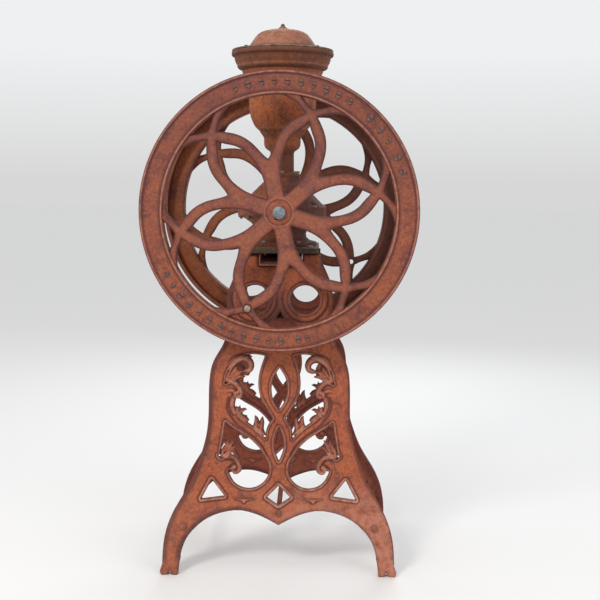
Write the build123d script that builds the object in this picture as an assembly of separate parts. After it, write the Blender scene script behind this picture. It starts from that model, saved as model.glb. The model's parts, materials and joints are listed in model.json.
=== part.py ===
from build123d import *
import math
import os

# Floor-standing two-wheel coffee mill, all in millimetres.
# X is along the wheels, Y along the axle from front to back, Z up; the origin is on the floor midway
# between the four feet. The openwork side frames lean towards each other and carry a table plate.

# Driving dimensions
AXLE_Z = 972.0
WHEEL_R = 360.0
RIM_WIDTH = 60.0
RIM_DEPTH = 50.0
WHEEL_FACE_Y = 254.0
LEAN_DEG = 7.2
FOOT_FACE_Y = 233.0
FRAME_T = 12.0
BORDER_DEPTH = 26.0
BORDER_W = 13.0
ROD_BOSS_R = 15.0
TABLE_Z = 860.0
TABLE_T = 14.0
TABLE_HALF_X = 104.0
TABLE_HALF_Y = 138.0
SHAFT_R = 16.0
RUNNING_GAP = 0.05
HOPPER_BASE_Z = 1062.0
COVER_Z = 1404.0
COVER_T = 4.0
TOTAL_H = 1480.0

# Mill casing, burrs and feed worm
SPLIT_R = 123.0
SPLIT_INNER_R = 99.0
BEARING_R = 34.0
BUSH_R = 22.0
BEARING_INNER_Y = 84.0
BEARING_OUTER_Y = 152.0
THROAT_R = 25.0
DISCHARGE_R = 44.0
BURR_R = 54.0
BURR_BORE_R = 24.0
BURR_TEETH = 24
WORM_CORE_R = 21.0
WORM_SECTORS = 36
WORM_LENGTH = 84.0

# Lid hinge
HINGE_X = 104.0
HINGE_Z = COVER_Z + COVER_T + 5.0
KNUCKLE_R = 4.4
PIN_R = 2.0
LID_GAP = 0.4
LID_TOP_Z = 1473.0

# Wheel pattern
FRONT_TURN = 18.2
REAR_TURN = 8.5
PETALS = 6
BAR_T = 18.0
BAR_BACK = 6.0
RIM_FACE_T = 12.0
RIM_WALL_T = 11.0
HUB_R = 41.0
HUB_LENGTH = 74.0
KEY_SIZE = 8.0
KEY_ANGLE = 205.0
CRANK_R = 260.0
CRANK_HOLE_R = 7.0
SHAFT_END_Y = 264.0

# Fasteners: shank radius, clearance hole radius, head across-corner radius, head height
BOLT_R = 4.0
HOLE_R = 4.4
HEAD_R = 8.0
HEAD_H = 6.0
SPOTFACE_R = 9.5
TIE_ROD_R = 7.0
TIE_HOLE_R = 7.5
LEG_ROD = (256.0, 132.0)
CENTRE_ROD_W = 169.5
FRAME_BOLT = (80.0, 103.0)
FOOT_BOLT = (45.0, 72.0)
SPLIT_BOLT_CIRCLE_R = 114.0
SPLIT_BOLT_ANGLES = (0, 38, -38, 180, 142, 218)
NECK_SCREW_CIRCLE_R = 41.5
COVER_SCREW_CIRCLE_R = 133.5
COVER_SCREW_R = 2.5

# Chute and the notch it leaves through
CHUTE_HALF_X = 57.0
CHUTE_FRONT_Y = -140.0
CHUTE_BACK_Y = 62.0
CHUTE_T = 3.0
NOTCH_HALF_X = 62.0
NOTCH_BOTTOM = 827.0

os.makedirs("parts", exist_ok=True)


def save(name, shape):
    """Write one sub-part to its own file."""
    export_step(shape, f"parts/{name}.step")


def region(*runs):
    """A flat face bounded by runs of points: two points make a line, more make a spline."""
    edges = []
    for run in runs:
        edges.append(Line(*run) if len(run) == 2 else Spline(*run))
    return make_face([e.edges()[0] for e in edges])


def flip(points):
    """The same points on the other side of the centre line, in reverse order."""
    return [(-x, y) for x, y in reversed(points)]


def both_sides(face):
    """A left-hand region and its mirror image."""
    return [face, mirror(face, Plane.YZ)]


def cylinder_y(radius, y0, y1, x=0.0, z=AXLE_Z):
    """A round bar along Y."""
    middle = (y0 + y1) / 2
    return Pos(x, middle, z) * Rot(90, 0, 0) * Cylinder(radius, abs(y1 - y0))


def tube_y(outer, inner, y0, y1):
    """A round tube along the axle."""
    return cylinder_y(outer, y0, y1) - cylinder_y(inner, y0, y1)


def cylinder_z(radius, z0, z1, x=0.0, y=0.0):
    """A round bar along Z."""
    return Pos(x, y, (z0 + z1) / 2) * Cylinder(radius, z1 - z0)


def hexagon_z(radius, z0, z1, x, y):
    """A hexagonal prism along Z."""
    return Pos(x, y, z0) * extrude(RegularPolygon(radius, 6), z1 - z0)


def vertical_bolt(x, y, under_head, length):
    """A hexagon-head bolt that hangs down from its head."""
    head = hexagon_z(HEAD_R, under_head, under_head + HEAD_H, x, y)
    return head + cylinder_z(BOLT_R, under_head - length, under_head, x, y)


def vertical_nut(x, y, top):
    """A hexagon nut under a clamped joint, with a clear hole for the bolt."""
    nut = hexagon_z(HEAD_R, top - HEAD_H, top, x, y)
    return nut - cylinder_z(BOLT_R + RUNNING_GAP, top - HEAD_H, top, x, y)


def on_circle(radius, angles):
    """Points at the given angles on a circle about the vertical axis."""
    return [(radius * math.cos(math.radians(a)), radius * math.sin(math.radians(a))) for a in angles]


def revolve_profile(points):
    """A solid of revolution about Z from a closed profile of (radius, height) points."""
    line = Polyline(*[(r, 0, z) for r, z in points], close=True)
    return revolve(make_face(line.edges()), Axis.Z)


# ---------------------------------------------------------------- side frames
# Left half of the frame's outline, from the table down to the foot, in the plane of the casting.
FRAME_OUTER = [
    (-110, 872), (-110, 832), (-133, 782), (-143, 746), (-141, 712), (-142, 668), (-149, 628),
    (-177, 576), (-188, 524), (-189.5, 440), (-195, 377), (-210, 320), (-237, 249), (-277, 180),
    (-298, 131), (-307, 92), (-311, 32),
]
FOOT = [(-311, 32), (-318, 10), (-314, -6), (-296, -6), (-290, 12), (-287, -6), (-270, -6), (-267, 28)]
ARCH = [
    (-267, 28), (-258, 72), (-246, 99), (-224, 126), (-195, 149), (-165, 163), (-134, 171),
    (-104, 173), (-72, 167), (-38, 154), (0, 134),
]


def frame_outline():
    """The whole silhouette of one side frame."""
    foot = [FOOT[i:i + 2] for i in range(len(FOOT) - 1)]
    left = [FRAME_OUTER, *foot, ARCH]
    right = [flip(run) for run in reversed(left)]
    return region([flip(FRAME_OUTER)[-1], FRAME_OUTER[0]], *left, *right)


def side_window():
    """Tall upper opening between the border, the wave scroll, the strap and the central loop."""
    return region(
        [(-40, 590), (-60, 594), (-82, 593), (-117, 574), (-138, 547), (-145, 515)],
        [(-145, 515), (-121, 524), (-104, 510), (-98, 489), (-104, 475), (-116, 476)],
        [(-116, 476), (-119, 456), (-113, 438), (-97, 421), (-72, 403), (-36, 369)],
        [(-36, 369), (-34, 394), (-18, 422)],
        [(-18, 422), (-32, 446), (-47, 471), (-57, 510), (-53, 550), (-40, 590)],
    )


def lower_window():
    """Triangle under the strap that runs into a round eye with a volute in it."""
    return region(
        [(-144, 411), (-129, 399), (-90, 375), (-52, 341), (-29, 305)],
        [(-29, 305), (-25.5, 289), (-41.5, 251), (-80, 235), (-119, 251), (-135, 280)],
        [(-135, 280), (-129, 284), (-124, 275), (-112, 272), (-100, 283), (-100, 297)],
        [(-100, 297), (-107, 310), (-119, 322), (-136, 326), (-154, 315), (-163, 322)],
        [(-163, 322), (-157, 326)],
        [(-157, 326), (-144, 411)],
    )


def frame_openings():
    """Every opening through one side frame."""
    eye = Pos(-67.5, 742.5) * Circle(38.5)
    corner = region([(-180, 257), (-207, 206)], [(-207, 206), (-146, 214)], [(-146, 214), (-180, 257)])
    almond = region([(0, 558), (-16, 531), (-21, 502), (-16, 473), (0, 447)],
                    [(0, 447), (16, 473), (21, 502), (16, 531), (0, 558)])
    sliver = region([(0, 398), (-9, 376), (-12.5, 353), (-9, 331), (0, 309)],
                    [(0, 309), (9, 331), (12.5, 353), (9, 376), (0, 398)])
    diamond = region([(0, 242), (-31, 211)], [(-31, 211), (0, 190)], [(0, 190), (31, 211)],
                     [(31, 211), (0, 242)])
    spandrel = region([(0, 710), (-19, 686), (-42, 670), (-48, 654)], [(-48, 654), (48, 654)],
                      [(48, 654), (42, 670), (19, 686), (0, 710)])
    paired = [shape for face in (eye, corner, side_window(), lower_window()) for shape in both_sides(face)]
    return [*paired, almond, sliver, diamond, spandrel]


def back_pocket():
    """The part of the back that is cut away to leave a thin panel inside a border flange."""
    inner = [(x + BORDER_W, y) for x, y in FRAME_OUTER[1:]]
    top_left, foot_left = inner[0], inner[-1]
    left = [[(-130, 900), (-130, top_left[1])], [(-130, top_left[1]), top_left], inner,
            [foot_left, (-266, foot_left[1])], [(-266, foot_left[1]), (-266, -20)]]
    right = [flip(run) for run in reversed(left)]
    pocket = region(*left, [(-266, -20), (266, -20)], *right, [(130, 900), (-130, 900)])
    for side in (-1, 1):
        pocket -= Pos(side * LEG_ROD[0], LEG_ROD[1]) * Circle(ROD_BOSS_R)
    return pocket


def stand_up(shape):
    """Put a shape drawn flat into the plane of the leaning front frame."""
    return Pos(0, -FOOT_FACE_Y, 0) * Rot(90 - LEAN_DEG, 0, 0) * shape


def front_frame():
    """The front side frame: openwork panel, border rib, thick feet and two lugs for the table."""
    panel = extrude(frame_outline(), -BORDER_DEPTH)
    panel -= Pos(0, 0, -FRAME_T) * extrude(back_pocket(), -BORDER_DEPTH)
    for opening in frame_openings():
        panel -= Pos(0, 0, 5) * extrude(opening, -BORDER_DEPTH - 10)
    casting = stand_up(panel)
    for side in (-1, 1):
        lug = Pos(side * 84, -104, TABLE_Z - 6) * Box(36, 38, 12)
        casting += lug
        casting -= cylinder_z(HOLE_R, TABLE_Z - 20, TABLE_Z + 5, side * FRAME_BOLT[0], -FRAME_BOLT[1])
        x, z = rod_place(side * LEG_ROD[0], LEG_ROD[1])
        casting -= cylinder_y(TIE_HOLE_R, -300, 0, x, z)
    x, z = rod_place(0, CENTRE_ROD_W)
    casting -= cylinder_y(TIE_HOLE_R, -300, 0, x, z)
    casting -= Pos(0, -FOOT_FACE_Y / 2, TABLE_Z + 100) * Box(300, 300, 200)
    casting -= Pos(0, -FOOT_FACE_Y, -50) * Box(800, 200, 100)
    casting -= Pos(0, -125, NOTCH_BOTTOM + 50) * Box(2 * NOTCH_HALF_X, 80, 100)
    return casting


def to_rear(shape):
    """The matching piece on the other side of the mill."""
    return mirror(shape, Plane.XZ)


def rod_place(x, w):
    """Where a point of the leaning panel stands, as X and Z."""
    return x, w * math.cos(math.radians(LEAN_DEG))


def tie_rods():
    """Three rods that hold the feet of the two frames together."""
    rods = []
    for x, w in ((-LEG_ROD[0], LEG_ROD[1]), (LEG_ROD[0], LEG_ROD[1]), (0, CENTRE_ROD_W)):
        reach = FOOT_FACE_Y - w * math.sin(math.radians(LEAN_DEG)) + 3
        rods.append(cylinder_y(TIE_ROD_R, -reach, reach, *rod_place(x, w)))
    return rods


def tie_rod_nuts():
    """Round cap nuts on the outer faces of the frames."""
    nuts = []
    for x, w, radius in ((-LEG_ROD[0], LEG_ROD[1], 11), (LEG_ROD[0], LEG_ROD[1], 11), (0, CENTRE_ROD_W, 9.5)):
        cap = Pos(0, 0, 4) * Cylinder(radius, 8)
        cap += Pos(0, 0, 8) * Cone(radius, radius - 4, 3, align=(Align.CENTER, Align.CENTER, Align.MIN))
        cap -= Pos(0, 0, 2) * Cylinder(TIE_ROD_R + 1, 9)
        front = stand_up(Pos(x, w, 0) * cap)
        nuts += [front, to_rear(front)]
    return nuts


# ---------------------------------------------------------------- table and chute
def table_plate():
    """The flat table with its discharge hole and bolt holes."""
    plate = Pos(0, 0, TABLE_Z + TABLE_T / 2) * Box(2 * TABLE_HALF_X, 2 * TABLE_HALF_Y, TABLE_T)
    plate = fillet(plate.edges().filter_by(Axis.Z), 12)
    plate -= cylinder_z(DISCHARGE_R, TABLE_Z - 1, TABLE_Z + TABLE_T + 1)
    for x, y in corner_points(*FRAME_BOLT) + corner_points(*FOOT_BOLT):
        plate -= cylinder_z(HOLE_R, TABLE_Z - 1, TABLE_Z + TABLE_T + 1, x, y)
    return plate


def corner_points(x, y):
    """Four points on the corners of a rectangle."""
    return [(sx * x, sy * y) for sx in (-1, 1) for sy in (-1, 1)]


CHUTE_SIDE = [(CHUTE_FRONT_Y, 828.5), (CHUTE_BACK_Y, 846), (CHUTE_BACK_Y, TABLE_Z), (-118, TABLE_Z),
              (CHUTE_FRONT_Y, 846)]


def chute():
    """Sheet-iron trough that carries the ground coffee out through the front frame."""
    side = Polyline(*[(0, y, z) for y, z in CHUTE_SIDE], close=True)
    outer = extrude(make_face(side.edges()), CHUTE_HALF_X, both=True, dir=(1, 0, 0))
    inner_points = [(CHUTE_FRONT_Y - 1, 828.5 + CHUTE_T), (CHUTE_BACK_Y - CHUTE_T, 846 + CHUTE_T),
                    (CHUTE_BACK_Y - CHUTE_T, TABLE_Z + 1), (CHUTE_FRONT_Y - 1, TABLE_Z + 1)]
    hollow = Polyline(*[(0, y, z) for y, z in inner_points], close=True)
    trough = outer - extrude(make_face(hollow.edges()), CHUTE_HALF_X - CHUTE_T, both=True, dir=(1, 0, 0))
    lip = Pos(0, CHUTE_FRONT_Y - 1.2, 829.5) * Rot(0, 90, 0) * Cylinder(3, 2 * CHUTE_HALF_X)
    return trough + lip


# ---------------------------------------------------------------- mill casing
def casing_bolt_points():
    """Bolts round the casing's split flange, clear of the two bearing housings."""
    return on_circle(SPLIT_BOLT_CIRCLE_R, SPLIT_BOLT_ANGLES)


def bearing_block(low, high):
    """Half of the two bearing housings, below or above the split."""
    front = tube_y(BEARING_R, BUSH_R, -BEARING_OUTER_Y, -BEARING_INNER_Y)
    rear = tube_y(BEARING_R, BUSH_R, BEARING_INNER_Y, BEARING_OUTER_Y)
    return (front + rear) & Pos(0, 0, (low + high) / 2) * Box(200, 400, high - low)


def lower_casing():
    """Pedestal half of the casing: foot flange, waist, bowl and split flange."""
    outside = [(DISCHARGE_R, 874), (97, 874), (97, 884), (78, 889), (69, 897), (67, 906), (73, 922),
               (88, 938), (106, 950), (112, 956), (SPLIT_R, 957), (SPLIT_R, AXLE_Z)]
    inside = [(SPLIT_INNER_R, AXLE_Z), (SPLIT_INNER_R, 960), (94, 950), (77, 936), (64, 922), (58, 906),
              (50, 892), (DISCHARGE_R, 884)]
    body = revolve_profile(outside + inside)
    body -= cylinder_y(26, -140, 140)
    body += bearing_block(AXLE_Z - 60, AXLE_Z)
    for x, y in corner_points(*FOOT_BOLT):
        body -= cylinder_z(HOLE_R, 870, 900, x, y)
        body -= cylinder_z(SPOTFACE_R, 884, 905, x, y)
    for x, y in casing_bolt_points():
        body -= cylinder_z(HOLE_R, 950, AXLE_Z + 1, x, y)
        body -= cylinder_z(SPOTFACE_R, 940, 957, x, y)
    return body


def upper_casing():
    """Conical half of the casing, from the split flange up to the neck flange."""
    outside = [(SPLIT_INNER_R, AXLE_Z), (SPLIT_R, AXLE_Z), (SPLIT_R, 981), (118, 984), (50, 1052),
               (50, HOPPER_BASE_Z)]
    inside = [(THROAT_R, HOPPER_BASE_Z), (THROAT_R, 1036), (50, 1036), (SPLIT_INNER_R, 987)]
    body = revolve_profile(outside + inside)
    body -= cylinder_y(26, -140, 140)
    body += bearing_block(AXLE_Z, AXLE_Z + 60)
    for x, y in casing_bolt_points():
        body -= cylinder_z(HOLE_R, AXLE_Z - 1, 990, x, y)
        body -= cylinder_z(SPOTFACE_R, 981, 1000, x, y)
    for x, y in neck_screw_points():
        body -= cylinder_z(HOLE_R, 1044, HOPPER_BASE_Z + 1, x, y)
    return body


def neck_screw_points():
    """Four cap screws that hold the hopper's neck on the casing."""
    return on_circle(NECK_SCREW_CIRCLE_R, (0, 90, 180, 270))


# ---------------------------------------------------------------- hopper and lid
def hopper():
    """Urn-shaped feed hopper, cast in one piece with its neck and bottom flange."""
    outside = [(THROAT_R, HOPPER_BASE_Z), (50, HOPPER_BASE_Z), (50, 1073), (32.5, 1074), (32.5, 1136),
               (42, 1141), (48, 1148), (51, 1160), (53, 1174), (59, 1183), (67, 1193), (76, 1203), (82, 1214),
               (87.5, 1226), (90.5, 1241), (92, 1258), (92.5, 1278), (93.5, 1296), (98, 1318), (106, 1338),
               (112, 1350), (114, 1355), (124, 1358), (128, 1370), (133, 1384), (134, 1390),
               (140, 1392), (140, COVER_Z)]
    inside = [(128, COVER_Z), (124, 1385), (114, 1366), (101, 1352), (90, 1325), (85, 1300), (83.5, 1276),
              (82.5, 1254), (80, 1236), (74, 1218), (65, 1203), (54, 1190), (44, 1177), (37, 1163),
              (THROAT_R, 1150)]
    bowl = revolve_profile(outside + inside)
    for x, y in neck_screw_points():
        bowl -= cylinder_z(HOLE_R, 1050, 1090, x, y)
    return bowl


def hinge_bar(radius, y0, y1):
    """A round piece on the lid's hinge line."""
    return cylinder_y(radius, y0, y1, HINGE_X, HINGE_Z)


def cover_ring():
    """Flat ring over the hopper's mouth, with the two fixed ears of the lid hinge."""
    ring = cylinder_z(139, COVER_Z, COVER_Z + COVER_T) - cylinder_z(86, COVER_Z - 1, COVER_Z + COVER_T + 1)
    for x, y in cover_screw_points():
        ring -= cylinder_z(COVER_SCREW_R + 0.2, COVER_Z - 1, COVER_Z + COVER_T + 1, x, y)
    for y0, y1 in ((-17, -10), (10, 17)):
        ear = hinge_bar(KNUCKLE_R, y0, y1)
        ear += Pos(HINGE_X, (y0 + y1) / 2, HINGE_Z - 3) * Box(2 * KNUCKLE_R, y1 - y0, 6)
        ring += ear - hinge_bar(PIN_R, y0, y1)
    return ring


def cover_screw_points():
    """Screws that hold the ring down on the hopper's rim."""
    return on_circle(COVER_SCREW_CIRCLE_R, (45, 135, 225, 315))


def cover_screws():
    """Low round-head screws, their shanks in the hopper's rim."""
    screws = []
    for x, y in cover_screw_points():
        head = cylinder_z(4.5, COVER_Z + COVER_T, COVER_Z + COVER_T + 2.5, x, y)
        screws.append(head + cylinder_z(COVER_SCREW_R, COVER_Z, COVER_Z + COVER_T, x, y))
    return screws


def lid():
    """Thin domed lid with an ogee top and the moving knuckle of its hinge."""
    base = COVER_Z + COVER_T + LID_GAP
    outside = Spline((96, 0, base + 3.5), (89, 0, 1423), (82, 0, 1433), (69.5, 0, 1449.5), (54.5, 0, 1458),
                     (33, 0, 1462.5), (17, 0, 1465.5), (9, 0, 1470), (6.5, 0, 1473))
    inside = Spline((4, 0, 1469), (16, 0, 1461.5), (32, 0, 1458.5), (52.5, 0, 1454), (66, 0, 1446.5),
                    (78, 0, 1431), (84.5, 0, 1421), (89, 0, base))
    rim = Polyline((89, 0, base), (97, 0, base), (97, 0, base + 3.5), (96, 0, base + 3.5))
    top = Polyline((6.5, 0, 1473), (4, 0, 1473), (4, 0, 1469))
    dome = revolve(make_face([*outside.edges(), *inside.edges(), *rim.edges(), *top.edges()]), Axis.Z)
    leaf = Pos(99, 0, base + 1.7) * Box(8, 18, 3.4)
    knuckle = hinge_bar(KNUCKLE_R, -9.5, 9.5) + leaf
    return (dome + knuckle) - hinge_bar(PIN_R + RUNNING_GAP, -30, 30)


def lid_finial():
    """Small turned knob whose spigot plugs the top of the lid."""
    ball = Pos(0, 0, TOTAL_H - 5.5) * Sphere(5.5)
    ball &= Pos(0, 0, LID_TOP_Z + 50) * Box(100, 100, 100)
    return ball + cylinder_z(3.9, LID_TOP_Z - 6, TOTAL_H - 6)


# ---------------------------------------------------------------- wheels and axle
def petal_hole():
    """Round-shouldered opening inside one petal, pointed at its outer end."""
    right = [(0, 46), (17.6, 74.6), (29, 99), (35.5, 125), (38, 150), (36, 176), (26, 203), (14, 219),
             (0, 239)]
    return region(right, flip(right))


def outer_hole():
    """Opening between two petals, from the fork of an arm out to the rim."""
    low = [(0, 139), (11, 153), (26, 177), (45, 200), (73, 219), (114.5, 232.5)]
    high = [(114.5, 232.5), (107, 249), (96, 266), (80, 281), (60, 294), (40, 303)]
    return region(low, high, [(40, 303), (0, 305.5), (-40, 303)], flip(high), flip(low))


def rim_hole():
    """Small three-sided opening between a crossing and the rim."""
    side = [(0, 274), (22, 285), (44, 302.3)]
    return region(side, [(44, 302.3), (0, 305.5), (-44, 302.3)], flip(side))


def wheel(turn):
    """One flywheel, face at Z=0 and depth downwards, its axis on Z; Y is up on the finished wheel."""
    holes = []
    for k in range(PETALS):
        crossing = Rot(0, 0, -turn - 60 * k)
        arm = Rot(0, 0, -turn - 30 - 60 * k)
        holes += [crossing * petal_hole(), crossing * rim_hole(), arm * outer_hole()]
    edges = [hole.faces()[0].outer_wire() for hole in holes]
    web = Face(Wire.make_circle(WHEEL_R - RIM_WIDTH + 10), edges)
    disc = Pos(0, 0, -BAR_BACK) * extrude(web, -BAR_T, dir=(0, 0, 1))
    rim = Cylinder(WHEEL_R, RIM_DEPTH) - Cylinder(WHEEL_R - RIM_WIDTH, RIM_DEPTH)
    rim = Pos(0, 0, -RIM_DEPTH / 2) * rim
    groove = Cylinder(WHEEL_R - RIM_WALL_T, RIM_DEPTH) - Cylinder(WHEEL_R - RIM_WIDTH + RIM_WALL_T, RIM_DEPTH)
    rim -= Pos(0, 0, -RIM_DEPTH / 2 - RIM_FACE_T) * groove
    hub = Pos(0, 0, -HUB_LENGTH / 2) * Cylinder(HUB_R, HUB_LENGTH)
    blank = disc + rim + hub
    blank -= Pos(0, 0, -HUB_LENGTH / 2) * Cylinder(SHAFT_R, HUB_LENGTH + 10)
    return blank - key_shape()


def key_shape():
    """The square key at the hub, in the wheel's own flat frame."""
    return Rot(0, 0, -KEY_ANGLE) * Pos(0, SHAFT_R, -HUB_LENGTH / 2) * Box(KEY_SIZE, KEY_SIZE, HUB_LENGTH)


def place_wheel(shape, side):
    """Carry a flat wheel shape to the front (-1) or the rear (+1) of the axle."""
    front = Pos(0, -WHEEL_FACE_Y, AXLE_Z) * Rot(90, 0, 0) * shape
    return front if side < 0 else to_rear(front)


def crank_point(turn, steps):
    """Where the crank bolts on, at one of the crossings, in the wheel's own flat frame."""
    angle = math.radians(turn + 60 * steps)
    return CRANK_R * math.sin(angle), CRANK_R * math.cos(angle)


def crank_stud():
    """Shouldered crank bolt left in the front wheel, head in front and nut behind."""
    face = -BAR_BACK
    stud = Pos(0, 0, face + 4) * Cylinder(9.5, 8)
    stud += Pos(0, 0, face - BAR_T / 2 - 2) * Cylinder(CRANK_HOLE_R, BAR_T + 14)
    stud += Pos(0, 0, face - BAR_T - 7) * extrude(RegularPolygon(12, 6), 7)
    return stud


def shaft():
    """The axle, with keyways for both wheels."""
    bar = cylinder_y(SHAFT_R, -SHAFT_END_Y, SHAFT_END_Y)
    for side in (-1, 1):
        bar -= place_wheel(key_shape(), side)
    return bar


def grinding_burr():
    """Rotating burr with a ring of radial teeth on its face."""
    disc = tube_y(BURR_R, SHAFT_R, 26, 36)
    for k in range(BURR_TEETH):
        tooth = Pos(0, 38.5, 0) * Box(3.2, 5, 28)
        disc += Pos(0, 0, AXLE_Z) * Rot(0, 360 * k / BURR_TEETH, 0) * Pos(0, 0, 38) * tooth
    return disc


def fixed_burr():
    """Stationary burr facing the rotating one."""
    disc = tube_y(BURR_R, BURR_BORE_R, 43.5, 54)
    for k in range(BURR_TEETH):
        tooth = Pos(0, 42.5, 0) * Box(3.2, 2, 24)
        disc += Pos(0, 0, AXLE_Z) * Rot(0, 360 * (k + 0.5) / BURR_TEETH, 0) * Pos(0, 0, 40) * tooth
    return disc


def burr_carrier():
    """Flanged sleeve that holds the fixed burr off the rear bearing housing."""
    return tube_y(48, BURR_BORE_R, 54, 60) + tube_y(28, BURR_BORE_R, 60, BEARING_INNER_Y)


def feed_auger():
    """Feed worm that draws beans along the shaft: a core with a stepped flight of sectors."""
    worm = tube_y(WORM_CORE_R, SHAFT_R, -70, 26)
    for k in range(WORM_SECTORS):
        y = -66 + WORM_LENGTH * k / WORM_SECTORS
        paddle = Pos(0, y, AXLE_Z) * Rot(0, 20 * k, 0) * Pos(0, 0, 26.5) * Box(11, 5, 15)
        worm += paddle
    return worm - cylinder_y(SHAFT_R, -80, 40)


# ---------------------------------------------------------------- write everything
front = front_frame()
save("front_frame", front)
save("rear_frame", to_rear(front))
save("tie_rods", Compound(children=tie_rods()))
save("tie_rod_nuts", Compound(children=tie_rod_nuts()))
save("table_plate", table_plate())
frame_points = corner_points(*FRAME_BOLT)
table_top = TABLE_Z + TABLE_T
save("frame_bolts", Compound(children=[vertical_bolt(x, y, table_top, 36) for x, y in frame_points]))
save("frame_nuts", Compound(children=[vertical_nut(x, y, TABLE_Z - 12) for x, y in frame_points]))
save("chute", chute())
save("lower_casing", lower_casing())
foot_points = corner_points(*FOOT_BOLT)
save("foot_bolts", Compound(children=[vertical_bolt(x, y, table_top + 10, 34) for x, y in foot_points]))
save("foot_nuts", Compound(children=[vertical_nut(x, y, TABLE_Z) for x, y in foot_points]))
save("upper_casing", upper_casing())
save("casing_bolts", Compound(children=[vertical_bolt(x, y, 981, 34) for x, y in casing_bolt_points()]))
save("casing_nuts", Compound(children=[vertical_nut(x, y, 957) for x, y in casing_bolt_points()]))
save("front_bush", tube_y(BUSH_R, SHAFT_R + RUNNING_GAP, -BEARING_OUTER_Y, -90))
save("rear_bush", tube_y(BUSH_R, SHAFT_R + RUNNING_GAP, 90, BEARING_OUTER_Y))
save("fixed_burr", fixed_burr())
save("burr_carrier", burr_carrier())
save("hopper", hopper())
save("neck_screws", Compound(children=[vertical_bolt(x, y, 1074, 28) for x, y in neck_screw_points()]))
save("cover_ring", cover_ring())
save("cover_screws", Compound(children=cover_screws()))
save("lid_hinge_pin", hinge_bar(PIN_R, -18.5, 18.5))
save("lid", lid())
save("lid_finial", lid_finial())
save("shaft", shaft())
front_wheel = place_wheel(wheel(FRONT_TURN), -1)
stud_x, stud_y = crank_point(FRONT_TURN, 3)
front_stud = place_wheel(Pos(stud_x, stud_y, 0) * crank_stud(), -1)
stud_hole = place_wheel(Pos(stud_x, stud_y, -20) * Cylinder(CRANK_HOLE_R, 60), -1)
save("front_wheel", front_wheel - stud_hole)
save("crank_stud", front_stud)
hole_x, hole_y = crank_point(REAR_TURN, 2)
crank_hole = place_wheel(Pos(hole_x, hole_y, -20) * Cylinder(CRANK_HOLE_R, 60), 1)
save("rear_wheel", place_wheel(wheel(REAR_TURN), 1) - crank_hole)
save("front_key", place_wheel(key_shape(), -1))
save("rear_key", place_wheel(key_shape(), 1))
save("front_collar", tube_y(27, SHAFT_R, -166, -153.5))
save("rear_collar", tube_y(27, SHAFT_R, 153.5, 166))
save("grinding_burr", grinding_burr())
save("feed_auger", feed_auger())
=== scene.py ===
import json
import math

import bmesh
import bpy
import numpy as np
from mathutils import Matrix, Vector


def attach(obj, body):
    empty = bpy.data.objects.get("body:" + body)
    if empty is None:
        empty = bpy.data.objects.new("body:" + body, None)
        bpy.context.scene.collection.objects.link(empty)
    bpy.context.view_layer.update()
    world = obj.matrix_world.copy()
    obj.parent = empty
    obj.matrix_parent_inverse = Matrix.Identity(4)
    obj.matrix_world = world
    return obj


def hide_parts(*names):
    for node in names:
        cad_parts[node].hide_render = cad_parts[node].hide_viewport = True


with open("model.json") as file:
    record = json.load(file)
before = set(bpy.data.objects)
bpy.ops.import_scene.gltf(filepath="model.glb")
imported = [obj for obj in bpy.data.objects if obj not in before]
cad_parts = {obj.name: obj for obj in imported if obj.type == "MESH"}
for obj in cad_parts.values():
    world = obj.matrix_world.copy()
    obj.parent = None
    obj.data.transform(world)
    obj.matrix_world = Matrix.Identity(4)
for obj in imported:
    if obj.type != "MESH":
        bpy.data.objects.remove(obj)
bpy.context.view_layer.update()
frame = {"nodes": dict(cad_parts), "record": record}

# ------------------------------------------------------------------ dimensions, in millimetres
AXLE_Z = 972.0
WHEEL_FACE_Y = 254.0
BAR_BACK = 6.0
BAR_T = 18.0
FRONT_TURN = 18.2
REAR_TURN = 8.5
CRANK_R = 260.0
CRANK_HOLE_R = 7.0
WEB_R = 306.0
HUB_R = 41.0
HUB_LENGTH = 74.0
SHAFT_R = 16.0
LEAN_DEG = 7.2
FOOT_FACE_Y = 233.0
FRAME_T = 12.0
BORDER_DEPTH = 26.0
FLANGE_T = 13.0
FLANGE_TOP = -9.0
LEG_ROD = (256.0, 132.0)
CENTRE_ROD_W = 169.5
LEG_CAP_R = 9.6
CENTRE_CAP_R = 8.6
CAP_BORE_R = 7.6
TABLE_Z = 860.0
CELL = 2.0
STEP = 4.0
METRE = 0.001


# ------------------------------------------------------------------ plane curves and distances
def smooth(points, step=STEP):
    """Points along the natural cubic spline through the given ones; two points stay a line."""
    p = np.array(points, float)
    if len(p) == 2:
        return p
    t = np.concatenate([[0.0], np.cumsum(np.linalg.norm(np.diff(p, axis=0), axis=1))])
    h = np.diff(t)
    n = len(p)
    a = np.eye(n)
    b = np.zeros_like(p)
    for i in range(1, n - 1):
        a[i, i - 1:i + 2] = h[i - 1], 2 * (h[i - 1] + h[i]), h[i]
        b[i] = 6 * ((p[i + 1] - p[i]) / h[i] - (p[i] - p[i - 1]) / h[i - 1])
    m = np.linalg.solve(a, b)
    s = np.linspace(0, t[-1], max(2, int(t[-1] / step) + 1))
    k = np.clip(np.searchsorted(t, s, side="right") - 1, 0, n - 2)
    d = (s - t[k])[:, None]
    w = h[k][:, None]
    first = (p[k + 1] - p[k]) / w - w * (2 * m[k] + m[k + 1]) / 6
    return p[k] + d * first + d ** 2 * m[k] / 2 + d ** 3 * (m[k + 1] - m[k]) / (6 * w)


def outline(*runs):
    """One closed polygon from runs of points: two points make a line, more make a spline."""
    return np.concatenate([smooth(run)[:-1] for run in runs])


def chained(*runs):
    """A closed outline in which each run goes on from the last point of the run before it."""
    whole = [runs[0]]
    for run in runs[1:]:
        whole.append([whole[-1][-1], *run])
    return outline(*whole)


def flip(points):
    """The same points on the other side of the centre line, in reverse order."""
    return [(-x, y) for x, y in reversed(points)]


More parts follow.
